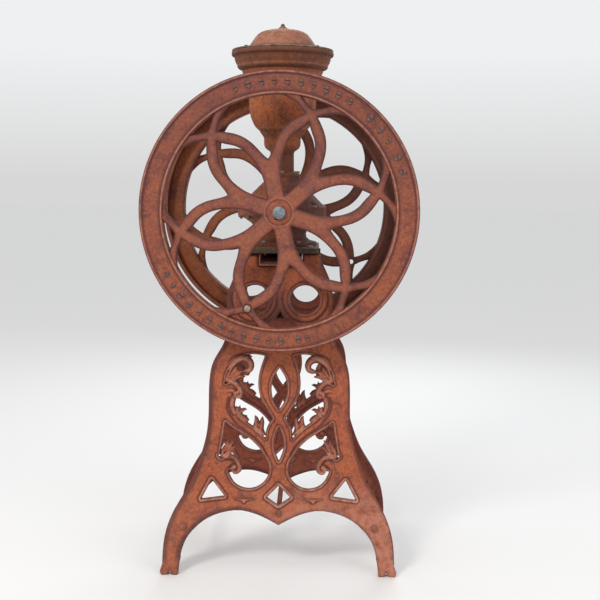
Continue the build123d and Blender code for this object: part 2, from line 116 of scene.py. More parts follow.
def mirrored(polygon):
    """A closed polygon and its mirror image."""
    return [polygon, polygon[::-1] * (-1, 1)]


def turned(polygon, degrees):
    """A polygon turned clockwise about the origin."""
    a = math.radians(-degrees)
    return polygon @ np.array([[math.cos(a), math.sin(a)], [-math.sin(a), math.cos(a)]])


def circle(x, y, r, n=64):
    """A round polygon."""
    a = np.linspace(0, 2 * math.pi, n, endpoint=False)
    return np.stack([x + r * np.cos(a), y + r * np.sin(a)], 1)


def line_distance(points, line, closed=False):
    """Distance of every point from a line of points, and the share of the way along it."""
    ends = np.roll(line, -1, axis=0) if closed else line[1:]
    starts = line if closed else line[:-1]
    best = np.full(len(points), 1e9)
    share = np.zeros(len(points))
    for k, (p, q) in enumerate(zip(starts, ends)):
        d = q - p
        length2 = max(d @ d, 1e-9)
        t = unit(((points - p) @ d) / length2)
        gap = points - p - t[:, None] * d
        got = gap[:, 0] ** 2 + gap[:, 1] ** 2
        nearer = got < best
        best[nearer] = got[nearer]
        share[nearer] = (k + t[nearer]) / len(starts)
    return np.sqrt(best), share


def inside(points, polygon):
    """Whether each point is inside a polygon, by the even-odd rule."""
    odd = np.zeros(len(points), bool)
    x, y = points[:, 0], points[:, 1]
    for (x0, y0), (x1, y1) in zip(polygon, np.roll(polygon, -1, axis=0)):
        if y0 != y1:
            odd ^= ((y0 > y) != (y1 > y)) & (x < (x1 - x0) * (y - y0) / (y1 - y0) + x0)
    return odd


def signed(points, polygon):
    """Distance from the edge of a polygon, positive inside it."""
    gap = line_distance(points, polygon, closed=True)[0]
    return np.where(inside(points, polygon), gap, -gap)


def dome(d, radius, height):
    """How far a rounded edge drops below the face at distance d from the edge."""
    t = 1 - np.clip(d, 0, radius) / radius
    return height * (np.sqrt(unit(1 - t * t)) - 1)


def unit(values):
    """Values kept between 0 and 1."""
    return np.clip(values, 0, 1)


def bump(d, centre, width):
    """A smooth ridge across distance d."""
    return np.exp(-((d - centre) / width) ** 2)


# ------------------------------------------------------------------ meshes
def added(name, data):
    """A new object in the scene."""
    obj = bpy.data.objects.new(name, data)
    bpy.context.scene.collection.objects.link(obj)
    return obj


def new_object(name, verts, faces, shade=40.0):
    """A mesh object from points in metres."""
    mesh = bpy.data.meshes.new(name)
    mesh.from_pydata([tuple(v) for v in verts], [], faces)
    mesh.validate()
    mesh.update()
    obj = added(name, mesh)
    mesh.shade_smooth()
    mesh.set_sharp_from_angle(angle=math.radians(shade))
    return obj


def place(verts_mm, matrix):
    """Flat points in millimetres to the row frame in metres."""
    v = np.asarray(verts_mm, float) * METRE
    m = np.array(matrix)
    return v @ m[:3, :3].T + m[:3, 3]


class Shape:
    """Points, faces and two paint masks gathered for one piece: wear with painted highlights, and grime with
    painted shade.
    """

    def __init__(self):
        self.verts = []
        self.faces = []
        self.wear_and_highlight = []
        self.grime_and_shade = []

    def add(self, verts, faces, wear_and_highlight=0.0, grime_and_shade=0.0):
        """Adds one closed shell; masks are numbers or one value a point."""
        base = sum(len(v) for v in self.verts)
        n = len(verts)
        self.verts.append(np.asarray(verts, float))
        self.faces += [[base + i for i in f] for f in faces]
        self.wear_and_highlight.append(np.broadcast_to(np.asarray(wear_and_highlight, float), n))
        self.grime_and_shade.append(np.broadcast_to(np.asarray(grime_and_shade, float), n))
        return self

    def build(self, name, matrix, body, material, nodes=(), shade=40.0, flipped=False):
        """Makes the object, gives it its masks and material, and rides it on its body."""
        verts = place(np.concatenate(self.verts), matrix)
        faces = [f[::-1] for f in self.faces] if flipped else self.faces
        verts[:, 2] = np.maximum(verts[:, 2], 0.0)
        obj = new_object(name, verts, faces, shade)
        for label, values in (("wear_and_highlight", self.wear_and_highlight), ("grime_and_shade", self.grime_and_shade)):
            layer = obj.data.attributes.new(label, "FLOAT", "POINT")
            layer.data.foreach_set("value", np.concatenate(values).astype(np.float32))
        obj.data.materials.append(material)
        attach(obj, body)
        if nodes:
            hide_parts(*nodes)
        return obj


def field_mesh(distance, low, high, cell):
    """Cells of a flat grid cut along the line where the distance is zero.

    Returns the points, the faces, and the pairs of points along the cut edges."""
    nx = int((high[0] - low[0]) / cell) + 2
    ny = int((high[1] - low[1]) / cell) + 2
    gx = low[0] + cell * np.arange(nx)
    gy = low[1] + cell * np.arange(ny)
    px, py = np.meshgrid(gx, gy, indexing="ij")
    grid = np.stack([px.ravel(), py.ravel()], 1)
    s = distance(grid).reshape(nx, ny)
    s = np.where(np.abs(s) < 0.08 * cell, 0.08 * cell, s)
    verts, index, faces, rim = [], {}, [], []

    def corner(i, j):
        key = (0, i, j)
        if key not in index:
            index[key] = len(verts)
            verts.append((gx[i], gy[j]))
        return index[key]

    def crossing(i, j, a, b):
        key = (1, min(i, a), min(j, b), i == a)
        if key not in index:
            t = s[i, j] / (s[i, j] - s[a, b])
            index[key] = len(verts)
            verts.append((gx[i] + t * (gx[a] - gx[i]), gy[j] + t * (gy[b] - gy[j])))
        return index[key]

    positive = s > 0
    any_in = positive[:-1, :-1] | positive[1:, :-1] | positive[:-1, 1:] | positive[1:, 1:]
    for i, j in zip(*np.nonzero(any_in)):
        ring = [(i, j), (i + 1, j), (i + 1, j + 1), (i, j + 1)]
        face, cut = [], []
        for (a, b), (c, d) in zip(ring, ring[1:] + ring[:1]):
            if positive[a, b]:
                face.append(corner(a, b))
            if positive[a, b] != positive[c, d]:
                v = crossing(a, b, c, d)
                face.append(v)
                cut.append((v, positive[a, b]))
        faces.append(face)
        for k, (v, leaving) in enumerate(cut):
            if leaving:
                rim.append((v, cut[(k + 1) % len(cut)][0]))
    return np.array(verts), faces, rim


def relief(distance, low, high, front, back, cell, masks):
    """A casting whose outline is where the distance is zero and whose two faces are given as heights."""
    flat, faces, rim = field_mesh(distance, low, high, cell)
    d = np.maximum(distance(flat), 0)
    top = front(flat, d)
    bottom = np.minimum(back(flat, d), top - 0.5)
    n = len(flat)
    verts = np.concatenate([np.column_stack([flat, top]), np.column_stack([flat, bottom])])
    out = [list(f) for f in faces] + [[n + v for v in reversed(f)] for f in faces]
    out += [[b, a, n + a, n + b] for a, b in rim]
    wear_and_highlight, grime_and_shade = masks(flat, d)
    return verts, out, np.tile(wear_and_highlight, 2), np.tile(grime_and_shade, 2)


def lathe(profile, n, height=None):
    """A solid of revolution about Z; profile is (radius, height) points in order round the section.

    height(radius, z, angle) may move a point outwards."""
    p = np.asarray(profile, float)
    a = np.linspace(0, 2 * math.pi, n, endpoint=False)
    r = np.repeat(p[:, 0][:, None], n, 1)
    z = np.repeat(p[:, 1][:, None], n, 1)
    if height is not None:
        r = r + height(r, z, np.broadcast_to(a, r.shape))
    verts = np.stack([r * np.cos(a), r * np.sin(a), z], 2).reshape(-1, 3)
    m = len(p)
    faces = []
    for i in range(m):
        j = (i + 1) % m
        for k in range(n):
            q = (k + 1) % n
            faces.append([i * n + k, i * n + q, j * n + q, j * n + k])
    return verts, faces


def rounded(points, radius, steps=3):
    """A closed section with its corners rounded."""
    p = np.asarray(points, float)
    n = len(p)
    out = []
    for i in range(n):
        before, here, after = p[i - 1], p[i], p[(i + 1) % n]
        u, v = before - here, after - here
        lu, lv = np.linalg.norm(u), np.linalg.norm(v)
        r = min(radius, 0.45 * lu, 0.45 * lv)
        s, e = here + u / lu * r, here + v / lv * r
        for k in range(steps + 1):
            t = k / steps
            out.append((1 - t) ** 2 * s + 2 * t * (1 - t) * here + t * t * e)
    return np.array(out)


IDENTITY = Matrix.Identity(4)
STAND_FRONT = (Matrix.Translation((0, -FOOT_FACE_Y * METRE, 0))
               @ Matrix.Rotation(math.radians(90 - LEAN_DEG), 4, "X"))
MIRROR_Y = Matrix.Diagonal((1, -1, 1, 1))
STAND_REAR = MIRROR_Y @ STAND_FRONT
WHEEL_FRONT = (Matrix.Translation((0, -WHEEL_FACE_Y * METRE, AXLE_Z * METRE))
               @ Matrix.Rotation(math.radians(90), 4, "X"))
WHEEL_REAR = MIRROR_Y @ WHEEL_FRONT


# ------------------------------------------------------------------ materials
class Nodes:
    """A short way to write a node tree."""

    def __init__(self, name):
        self.material = bpy.data.materials.new(name)
        self.material.use_nodes = True
        self.tree = self.material.node_tree
        self.shader = self.tree.nodes["Principled BSDF"]
        self.coords = self.new("TexCoord").outputs["Object"]

    def new(self, kind):
        """A new node."""
        return self.tree.nodes.new("ShaderNode" + kind)

    def link(self, source, target):
        """Joins an output to an input."""
        self.tree.links.new(source, target)

    def noise(self, scale, detail=4.0, rough=0.55, distort=0.0, stretch=None):
        """Noise of so many lumps a metre."""
        coords = self.coords
        if stretch:
            mapping = self.new("Mapping")
            mapping.inputs["Scale"].default_value = stretch
            self.link(coords, mapping.inputs["Vector"])
            coords = mapping.outputs["Vector"]
        node = self.new("TexNoise")
        node.inputs["Scale"].default_value = scale
        node.inputs["Detail"].default_value = detail
        node.inputs["Roughness"].default_value = rough
        node.inputs["Distortion"].default_value = distort
        self.link(coords, node.inputs["Vector"])
        return node.outputs["Fac"]

    def ramp(self, value, *stops):
        """A colour ramp; stops are (place, colour)."""
        node = self.new("ValToRGB")
        ramp = node.color_ramp
        while len(ramp.elements) < len(stops):
            ramp.elements.new(0.5)
        for element, (at, colour) in zip(ramp.elements, stops):
            element.position = at
            element.color = (*colour, 1)
        self.link(value, node.inputs["Fac"])
        return node.outputs["Color"]

    def span(self, value, low, high, to_low=0.0, to_high=1.0):
        """A value moved from one range to another and kept in it."""
        node = self.new("MapRange")
        for label, number in (("From Min", low), ("From Max", high), ("To Min", to_low), ("To Max", to_high)):
            node.inputs[label].default_value = number
        self.link(value, node.inputs["Value"])
        return node.outputs["Result"]

    def math(self, kind, a, b):
        """One sum or product of two values."""
        node = self.new("Math")
        node.operation = kind
        for k, value in enumerate((a, b)):
            if isinstance(value, (int, float)):
                node.inputs[k].default_value = value
            else:
                self.link(value, node.inputs[k])
        return node.outputs["Value"]

    def mix(self, factor, a, b):
        """Two colours mixed."""
        node = self.new("Mix")
        node.data_type = "RGBA"
        for target, value in ((node.inputs["Factor"], factor), (node.inputs["A"], a), (node.inputs["B"], b)):
            if isinstance(value, (int, float)):
                target.default_value = value
            elif isinstance(value, tuple):
                target.default_value = (*value, 1)
            else:
                self.link(value, target)
        return node.outputs["Result"]

    def attribute(self, name):
        """A mask stored on the points."""
        node = self.new("Attribute")
        node.attribute_name = name
        return node.outputs["Fac"]

    def height(self, value, strength, distance):
        """Bump from a value."""
        node = self.new("Bump")
        node.inputs["Strength"].default_value = strength
        node.inputs["Distance"].default_value = distance
        self.link(value, node.inputs["Height"])
        self.link(node.outputs["Normal"], self.shader.inputs["Normal"])

    def up(self):
        """How much the surface faces upwards, from 0 to 1."""
        geometry = self.new("NewGeometry")
        split = self.new("SeparateXYZ")
        self.link(geometry.outputs["Normal"], split.inputs["Vector"])
        return split.outputs["Z"]


DULL = 0.24
BLUSH = 1.55


def rusty_iron(name, orange, red, dark, worn, dust=None, dust_amount=0.0, streaks=0.0, grain=1.0):
    """Old painted cast iron: rust blooms, purple-brown stains, pale worn edges and painted highlights, dirt
    and painted shade, and a sandy skin.
    """
    n = Nodes(name)
    patches = n.noise(7.0, 6, 0.62, 0.7)
    base = n.ramp(patches, (0.36, red), (0.52, orange), (0.68, red))
    stains = n.noise(15.0, 7, 0.66, 0.9)
    base = n.mix(n.span(stains, 0.50, 0.70, 0.0, 0.80), base, dark)
    if streaks:
        runs = n.noise(1.0, 5, 0.62, 0.3, stretch=(75.0, 75.0, 9.0))
        base = n.mix(n.span(runs, 0.48, 0.66, 0.0, streaks), base, dark)
    mottle = n.noise(120.0, 5, 0.72, 0.4)
    base = n.mix(n.span(mottle, 0.48, 0.68, 0.0, 0.66), base, dark)
    blush = n.noise(150.0, 4, 0.65, 0.2)
    base = n.mix(n.span(blush, 0.54, 0.72, 0.0, 0.55), base, tuple(BLUSH * c for c in orange))
    flecks = n.noise(330.0, 3, 0.7)
    base = n.mix(n.span(flecks, 0.57, 0.74, 0.0, 0.55), base, worn)
    # The grime mask darkens the colour for dirt and for painted shade.
    grime_and_shade = n.attribute("grime_and_shade")
    base = n.mix(n.math("MULTIPLY", grime_and_shade, n.span(stains, 0.25, 0.7, 1.0, 0.62)), base, dark)
    # The wear mask pales the colour for rubbed paint and for painted highlights.
    wear_and_highlight = n.attribute("wear_and_highlight")
    rub = n.span(n.noise(55.0, 4, 0.65), 0.36, 0.62, 0.15, 1.0)
    base = n.mix(n.math("MULTIPLY", wear_and_highlight, rub), base, worn)
    if dust is not None:
        settled = n.span(n.up(), 0.35, 0.95, 0.0, dust_amount)
        base = n.mix(n.math("MULTIPLY", settled, n.span(patches, 0.3, 0.6, 0.6, 1.0)), base, dust)
    n.link(base, n.shader.inputs["Base Color"])
    n.link(n.span(mottle, 0.3, 0.75, 0.52, 0.82), n.shader.inputs["Roughness"])
    n.shader.inputs["Specular IOR Level"].default_value = DULL
    pits = n.math("MULTIPLY", n.noise(420.0, 4, 0.7), 0.6)
    lumps = n.math("MULTIPLY", mottle, 0.8)
    n.height(n.math("ADD", pits, lumps), 0.65 * grain, 0.0014)
    return n.material


def worn_steel(name, light, dark, rough=(0.30, 0.55)):
    """Turned or forged steel with a dull, stained skin."""
    n = Nodes(name)
    stains = n.noise(60.0, 5, 0.65, 0.4)
    base = n.ramp(stains, (0.32, dark), (0.62, light))
    specks = n.noise(300.0, 3, 0.7)
    base = n.mix(n.span(specks, 0.58, 0.75, 0.0, 0.6), base, (0.16, 0.07, 0.04))
    n.link(base, n.shader.inputs["Base Color"])
    n.shader.inputs["Metallic"].default_value = 0.75
    n.link(n.span(stains, 0.3, 0.7, *rough), n.shader.inputs["Roughness"])
    n.height(specks, 0.25, 0.0006)
    return n.material


ORANGE = (0.350, 0.092, 0.034)
RED = (0.250, 0.058, 0.030)
DARK = (0.070, 0.024, 0.024)
WORN = (0.475, 0.232, 0.178)
FRAME_IRON = rusty_iron("frame iron", ORANGE, RED, DARK, WORN)
# A darker copy of the frame's iron for the rear frame, as painted shade. The tie rods between the frames use
# it too.
SHADED_REAR_IRON = rusty_iron("shaded rear frame iron", (0.215, 0.048, 0.022), (0.165, 0.034, 0.022), (0.055, 0.018, 0.018),
                       (0.34, 0.13, 0.08))
WHEEL_IRON = rusty_iron("wheel iron", (0.268, 0.076, 0.034), (0.172, 0.045, 0.034), (0.056, 0.022, 0.027),
                        (0.410, 0.175, 0.120), grain=1.35)
REAR_WHEEL_IRON = rusty_iron("rear wheel iron", (0.270, 0.078, 0.026), (0.180, 0.048, 0.024),
                             (0.062, 0.021, 0.020), (0.36, 0.16, 0.09))
MARK_IRON = rusty_iron("rim mark iron", (0.120, 0.062, 0.055), (0.095, 0.048, 0.044), (0.050, 0.028, 0.030),
                       (0.27, 0.18, 0.17))
CASING_IRON = rusty_iron("casing iron", (0.420, 0.135, 0.044), (0.280, 0.076, 0.034), (0.052, 0.018, 0.020),
                         WORN, streaks=0.40)
HOPPER_IRON = rusty_iron("hopper iron", (0.370, 0.098, 0.028), (0.265, 0.068, 0.026), (0.075, 0.030, 0.018),
                         WORN, streaks=0.55)
COLLAR_IRON = rusty_iron("hopper rim iron", (0.120, 0.058, 0.032), (0.090, 0.040, 0.025),
                         (0.035, 0.022, 0.017), (0.30, 0.22, 0.17))
LID_IRON = rusty_iron("lid iron", (0.350, 0.140, 0.088), (0.270, 0.092, 0.054), (0.085, 0.052, 0.030),
                      (0.54, 0.33, 0.26))
TABLE_IRON = rusty_iron("table iron", (0.070, 0.044, 0.026), (0.055, 0.033, 0.021), (0.025, 0.019, 0.014),
                        (0.40, 0.31, 0.21), dust=(0.20, 0.16, 0.09), dust_amount=0.6)
# The chute's sheet is given a paler colour than its own, as painted light inside its shaded mouth.
BRIGHTENED_SHEET_IRON = rusty_iron("chute iron", (0.360, 0.130, 0.090), (0.270, 0.090, 0.066), (0.110, 0.046, 0.042),
                        (0.50, 0.32, 0.26))
PALE_BOLT = worn_steel("pale bolt", (0.40, 0.31, 0.28), (0.17, 0.10, 0.085), (0.45, 0.65))
FASTENER = worn_steel("fastener steel", (0.30, 0.22, 0.17), (0.12, 0.08, 0.06), (0.45, 0.65))
AXLE_STEEL = worn_steel("axle steel", (0.22, 0.26, 0.29), (0.07, 0.075, 0.085), (0.38, 0.6))
BRASS = worn_steel("bush brass", (0.50, 0.35, 0.14), (0.24, 0.16, 0.07), (0.35, 0.55))
BURR_IRON = worn_steel("burr iron", (0.16, 0.15, 0.14), (0.06, 0.055, 0.05), (0.35, 0.6))


# ------------------------------------------------------------------ side frames
FRAME_OUTER = [
    (-110, 872), (-110, 832), (-133, 782), (-143, 746), (-141, 712), (-142, 668), (-149, 628),
    (-177, 576), (-188, 524), (-189.5, 440), (-195, 377), (-210, 320), (-237, 249), (-277, 180),
    (-298, 131), (-307, 92), (-311, 32),
]
FOOT = [(-311, 32), (-318, 10), (-314, 0), (-297, 0), (-290, 13), (-286, 0), (-270, 0), (-267, 28)]
FOOT_RUNS = [FOOT[i:i + 2] for i in range(len(FOOT) - 1)]
ARCH = [
    (-267, 28), (-258, 72), (-246, 99), (-224, 126), (-195, 149), (-165, 163), (-134, 171),
    (-104, 173), (-72, 167), (-38, 154), (0, 134),
]


def frame_outline():
    """The whole silhouette of one side frame, below the table."""
    left = [FRAME_OUTER, *FOOT_RUNS, ARCH]
    right = [flip(run) for run in reversed(left)]
    return outline([flip(FRAME_OUTER)[-1], FRAME_OUTER[0]], *left, *right)


SIDE_WINDOW = chained(
    [(-40, 590), (-60, 594), (-82, 593), (-117, 574), (-138, 547), (-145, 515)],
    [(-121, 524), (-104, 510), (-98, 489), (-104, 475), (-116, 476)],
    [(-119, 456), (-113, 438), (-97, 421), (-72, 403), (-36, 369)],
    [(-34, 394), (-18, 422)],
    [(-32, 446), (-47, 471), (-57, 510), (-53, 550), (-40, 590)],
)
LOWER_WINDOW = chained(
    [(-144, 411), (-129, 399), (-90, 375), (-52, 341), (-29, 305)],
    [(-25.5, 289), (-41.5, 251), (-80, 235), (-119, 251), (-135, 280)],
    [(-129, 284), (-124, 275), (-112, 272), (-100, 283), (-100, 297)],
    [(-107, 310), (-119, 322), (-136, 326), (-154, 315), (-163, 322)],
    [(-157, 326)],
    [(-144, 411)],
)
CORNER = chained([(-180, 257), (-207, 206)], [(-146, 214)], [(-180, 257)])
ALMOND = chained([(0, 558), (-16, 531), (-21, 502), (-16, 473), (0, 447)],
                 [(16, 473), (21, 502), (16, 531), (0, 558)])
SLIVER = chained([(0, 398), (-9, 376), (-12.5, 353), (-9, 331), (0, 309)],
                 [(9, 331), (12.5, 353), (9, 376), (0, 398)])
DIAMOND = chained([(0, 242), (-31, 211)], [(0, 190)], [(31, 211)], [(0, 242)])
SPANDREL = chained([(0, 710), (-19, 686), (-42, 670), (-48, 654)], [(48, 654)],
                   [(42, 670), (19, 686), (0, 710)])
EYE_AT = (-67.5, 742.5)
EYE = circle(*EYE_AT, 38.5)
LOBE_R = 59.0


LEAVES = [
    chained([(-150, 520), (-138, 548), (-124, 562)], [(-118, 566), (-112, 566)],
            [(-113, 558), (-110, 553)], [(-100, 553), (-91, 549)],
            [(-97, 543), (-103, 541)], [(-96, 538), (-91, 533)],
            [(-104, 530), (-116, 524), (-126, 514)], [(-150, 520)]),
    chained([(-122, 436), (-119, 450), (-116, 455)], [(-110, 452), (-106, 459)],
            [(-103, 448)], [(-93, 450), (-86, 446)],
            [(-95, 441), (-101, 434)], [(-92, 431), (-80, 418)],
            [(-90, 408), (-122, 430)], [(-122, 436)]),
    chained([(-76, 392), (-68, 410), (-66, 431)], [(-57, 424), (-53, 410)],
            [(-50, 421), (-44, 428)], [(-40, 412), (-41, 396), (-34, 378)],
            [(-50, 376), (-76, 392)]),
    chained([(-158, 318), (-156, 334), (-150, 346)], [(-144, 352), (-137, 371)],
            [(-133, 358)], [(-126, 362), (-119, 367)],
            [(-122, 356), (-124, 349)], [(-116, 349), (-108, 346)],
            [(-119, 340), (-126, 332), (-132, 320)], [(-146, 310), (-158, 318)]),
]
HOOK = smooth([(-134, 556), (-121, 575), (-103, 583), (-86, 579), (-77, 566), (-80, 553), (-90, 549)])
HOOK_HALF = (8, 11, 12, 11.5, 10, 8, 6.5)
CREST_OUTER = smooth([
    (-150, 514), (-132, 520), (-116, 514), (-106, 500), (-102, 488), (-107, 480), (-115, 481),
    (-116, 489), (-112, 492),
])
CREST_INNER = smooth([
    (-152, 490), (-140, 496), (-128, 497), (-120, 491), (-122, 480), (-128, 462), (-120, 436),
])
CREST_LOW = smooth([
    (-164, 318), (-150, 321), (-137, 321), (-119, 317), (-109, 305), (-104, 291), (-109, 279),
    (-118, 277), (-125, 284), (-119, 291),
])
LEAF_VEINS = [smooth(line) for line in (
    [(-140, 524), (-124, 546), (-114, 562)], [(-132, 522), (-112, 542), (-96, 549)],
    [(-126, 518), (-108, 533), (-94, 535)], [(-118, 432), (-113, 444), (-107, 456)],
    [(-112, 428), (-98, 442), (-88, 446)], [(-62, 388), (-62, 408), (-65, 426)],
    [(-50, 384), (-47, 405), (-46, 424)], [(-150, 324), (-144, 346), (-137, 366)],
    [(-144, 320), (-132, 344), (-121, 363)], [(-138, 316), (-124, 338), (-111, 346)],
)]
OVER_STRAP = smooth([
    (-37, 545), (-41, 510), (-36, 475), (-20, 447), (0, 422), (17, 400), (25, 375), (27, 350),
])
STRAP_LINE = smooth([
    (-135, 478), (-140, 455), (-128, 425), (-104, 398), (-70, 374), (-46, 350), (-32, 322),
])
MARK = np.array([(-118, 206), (-100, 202), (-92.5, 194), (-85, 202), (-67, 206)], float)


def folded(points):
    """Points carried to the left of the centre line."""
    return np.column_stack([-np.abs(points[:, 0]), points[:, 1]])


def on_left(function):
    """Works a function of points out once for each pair of mirrored points."""
    def wrapped(points):
        left = np.round(folded(points), 4)
        unique, back = np.unique(left, axis=0, return_inverse=True)
        return function(unique)[back.ravel()]
    return wrapped


def stroke(points, line, half):
    """How deep each point lies inside a tapering stroke."""
    distance, share = line_distance(points, line)
    return np.interp(share, np.linspace(0, 1, len(half)), half) - distance


def ridge(points, line, width):
    """A smooth ridge along a line."""
    return np.exp(-(line_distance(points, line)[0] / width) ** 2)


FRAME_EDGE = frame_outline()
NOTCH_HALF, NOTCH_FOOT, NOTCH_TOP = 59.0, 832.6, 900.0
NOTCH = np.array([(-NOTCH_HALF, NOTCH_TOP), (-NOTCH_HALF, NOTCH_FOOT),
                  (NOTCH_HALF, NOTCH_FOOT), (NOTCH_HALF, NOTCH_TOP)])
TABLE_CUT_W = (TABLE_Z - 0.2) / math.cos(math.radians(LEAN_DEG))


@on_left
def frame_field(points):
    """Signed distance inside one frame's casting, leaves included."""
    d = signed(points, FRAME_EDGE)
    for hole in (EYE, CORNER, SIDE_WINDOW, LOWER_WINDOW, ALMOND, SLIVER, DIAMOND, SPANDREL):
        d = np.minimum(d, -signed(points, hole))
    for leaf in LEAVES:
        d = np.maximum(d, signed(points, leaf))
    d = np.maximum(d, stroke(points, HOOK, HOOK_HALF))
    d = np.minimum(d, -signed(points, NOTCH))
    return np.minimum(d, TABLE_CUT_W - points[:, 1])


def lip(distance, width, height):
    """A raised rounded band beside an opening, then a fine groove."""
    t = unit(distance / width)
    groove = 0.35 * height * bump(distance, width + 1.6, 1.6)
    return height * np.sqrt(unit(1 - (2 * t - 1) ** 2)) - groove


def roll(points, line, width, height):
    """A round roll that grows out of the face along a line, with a sunk outline on both sides of it."""
    distance, share = line_distance(points, line)
    t = unit(distance / width)
    rise = height * unit(share / 0.35)
    return rise * (0.75 * (1 - t * t) - 0.40 * bump(distance, 1.3 * width, 0.35 * width))


@on_left
def frame_relief(points):
    """What stands proud of the frame's face or is cut into it, the same on both sides."""
    h = np.zeros(len(points))
    for hole, width, height in ((DIAMOND, 8.5, 4.8), (CORNER, 8.5, 4.6), (EYE, 7.5, 4.2), (ALMOND, 7.0, 3.0),
                                (SLIVER, 7.0, 3.0), (SPANDREL, 4.0, 1.6), (SIDE_WINDOW, 6.0, 3.0),
                                (LOWER_WINDOW, 6.5, 3.4)):
        h += lip(np.abs(signed(points, hole)), width, height)
    for line, width, height in ((CREST_OUTER, 6.0, 6.0), (CREST_INNER, 4.8, 4.4), (CREST_LOW, 7.0, 6.5),
                                (HOOK, 8.5, 5.0)):
        h += roll(points, line, width, height)
    mark = signed(points, MARK)
    h += 3.4 * unit(mark / 2.5 + 0.2) - 1.6 * bump(mark, -1.6, 1.8)
    for line in LEAF_VEINS:
        h += 3.4 * ridge(points, line, 2.8)
    h -= 2.2 * ridge(points, STRAP_LINE, 2.6)
    eye = np.hypot(points[:, 0] - EYE_AT[0], points[:, 1] - EYE_AT[1])
    lower = unit((775.0 - points[:, 1]) / 45.0)
    h += lower * (3.0 * unit((LOBE_R - eye) / 8.0) ** 0.5 - 2.6 * bump(eye, LOBE_R + 2.0, 2.4))
    return h


def frame_front(points, d):
    """Height of the casting's face."""
    outer = line_distance(points, FRAME_EDGE, closed=True)[0]
    h = dome(d, 9.0, 5.0) + 0.6 * dome(d, 20.0, 6.0) + 1.1 * frame_relief(points) * unit(d / 2.5)
    h += dome(outer, 15.0, 8.0)
    over, share = line_distance(points, OVER_STRAP)
    near = unit(1.6 - np.abs(points[:, 1] - 421) / 26.0) * (share > 0) * (share < 1)
    h += near * (2.6 * unit(1.25 - over / 13.0) - 3.6 * bump(over, 15.0, 2.6))
    return h


def frame_back(points, d):
    """Height of the casting's back."""
    return -FRAME_T - dome(d, 3.0, 1.5)


def frame_masks(points, d):
    """Where the frame is rubbed pale and carries painted highlights, and where it is darkened by dirt and
    painted shade.
    """
    x, w = points[:, 0], points[:, 1]
    outer = line_distance(points, FRAME_EDGE, closed=True)[0]
    h = frame_relief(points)
    # Painted shade along the edges of the openings and in the sunk grooves and outlines.
    grime_and_shade = 0.9 * unit(1.35 - d / 3.2) + unit(-h / 0.9) + 0.25 * unit(1 - d / 14.0)
    # Painted shade: a dark band along the outer edge, wider and darker on the left side than on the right.
    right = unit(x / 200.0 + 0.5)
    grime_and_shade += (0.85 - 0.45 * right) * unit((16.0 - 8.0 * right - outer) / 6.0)
    grime_and_shade *= np.clip((w - 20.0) / 30.0, 0.3, 1)
    # Painted shade in the hollow between the eyes.
    grime_and_shade += 0.75 * unit(1.3 - np.hypot(x / 52.0, (w - 728.0) / 62.0))
    # Pale tops of the raised lips, rolls and marks: rubbed paint with painted highlights.
    wear_and_highlight = 0.70 * unit((h - 1.2) / 2.4) * (d > 1.5)
    wear_and_highlight += (0.12 + 0.48 * right) * unit((270.0 - w) / 130.0)
    wear_and_highlight *= 1 - 0.65 * unit((w - 600.0) / 60.0)
    return unit(wear_and_highlight), unit(grime_and_shade)


def border_flange(shape):
    """The deep flange behind the outer edge."""
    edge = smooth(FRAME_OUTER[1:])
    inner = edge + (FLANGE_T, 0)
    n = len(edge)
    for side in (-1, 1):
        flip_x = np.array([-side, 1.0])
        a, b = edge * flip_x + (0.8 * side, 0), inner * flip_x
        verts = np.concatenate([np.column_stack([line, np.full(n, depth)])
                                for line, depth in ((a, FLANGE_TOP), (b, FLANGE_TOP),
                                                    (b, -BORDER_DEPTH), (a, -BORDER_DEPTH))])
        faces = []
        for r in range(4):
            s = (r + 1) % 4
            for k in range(n - 1):
                face = [r * n + k, r * n + k + 1, s * n + k + 1, s * n + k]
                faces.append(face if side < 0 else face[::-1])
        cap = [0, n, 2 * n, 3 * n]
        end = [n - 1, 4 * n - 1, 3 * n - 1, 2 * n - 1]
        faces += [cap if side < 0 else cap[::-1], end if side < 0 else end[::-1]]
        shape.add(verts, faces, 0.0, 0.5)


def hoof(shape):
    """The thick cloven feet."""
    top = [(-267, 28), (-263, 48), (-309, 48), (-311, 32)]
    polygon = outline(*FOOT_RUNS, [top[0], top[1]], [top[1], top[2]], [top[2], top[3]])
    for face in mirrored(polygon):
        low, high = face.min(0) - 3, face.max(0) + 3
        shape.add(*relief(lambda p: signed(p, face), low, high, lambda p, d: -0.5 + dome(d, 8, 6),
                          lambda p, d: -BORDER_DEPTH - dome(d, 4, 3), 1.8, frame_masks))


FRAME_LOW, FRAME_HIGH = np.array([-324.0, -6.0]), np.array([324.0, 878.0])
FRAME_CASTING = relief(frame_field, FRAME_LOW, FRAME_HIGH, frame_front, frame_back, CELL, frame_masks)


def make_frame(name, matrix, node, material, flipped):
    """One side frame: its openwork, its flange and its feet."""
    shape = Shape()
    shape.add(*FRAME_CASTING)
    border_flange(shape)
    hoof(shape)
    return shape.build(name, matrix, "stand", material, [node], flipped=flipped)


make_frame("front_frame_casting", STAND_FRONT, "front_frame", FRAME_IRON, False)
# The rear frame is painted darker, as painted shade.
make_frame("rear_frame_casting", STAND_REAR, "rear_frame", SHADED_REAR_IRON, True)


